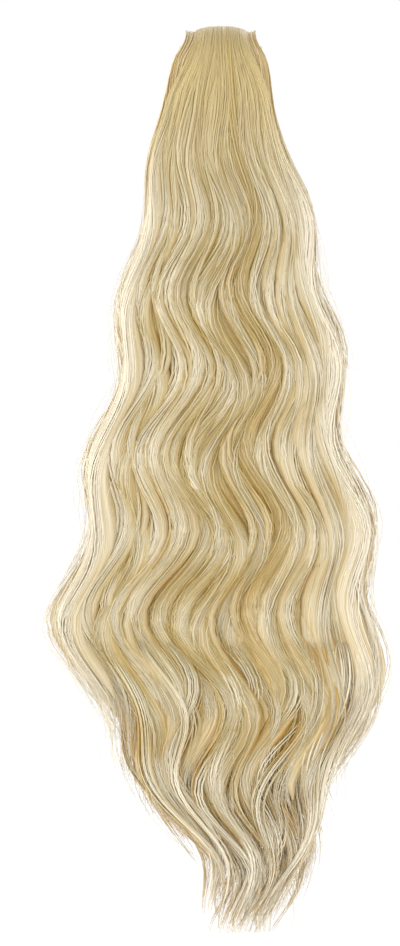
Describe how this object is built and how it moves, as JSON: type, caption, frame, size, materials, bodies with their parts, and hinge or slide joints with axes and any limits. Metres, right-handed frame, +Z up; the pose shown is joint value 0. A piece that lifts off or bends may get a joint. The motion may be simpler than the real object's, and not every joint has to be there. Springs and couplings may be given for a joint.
{
  "type": "ponytail hairpiece",
  "caption": "Long wavy ponytail hairpiece: layered locks sewn along their upper edges and carried by a spring claw clip that grips gathered hair.",
  "frame": {"origin": "middle of the claw's grip, where the wearer's gathered hair is held", "axes": "+Y towards the wearer's head, -Y the side of the hair that shows, +Z up along the hanging tail, +X to the viewer's right"},
  "size_m": [0.2061, 0.0625, 0.553],
  "materials": {
    "hair_outer": "satin",
    "hair_middle": "satin",
    "hair_under": "satin",
    "clip_plastic": "satin"
  },
  "bodies": {
    "root": {"claw_clip": "clip_plastic", "outer_layer": "hair_outer", "middle_layer": "hair_middle", "under_layer": "hair_under"}
  },
  "joints": []
}
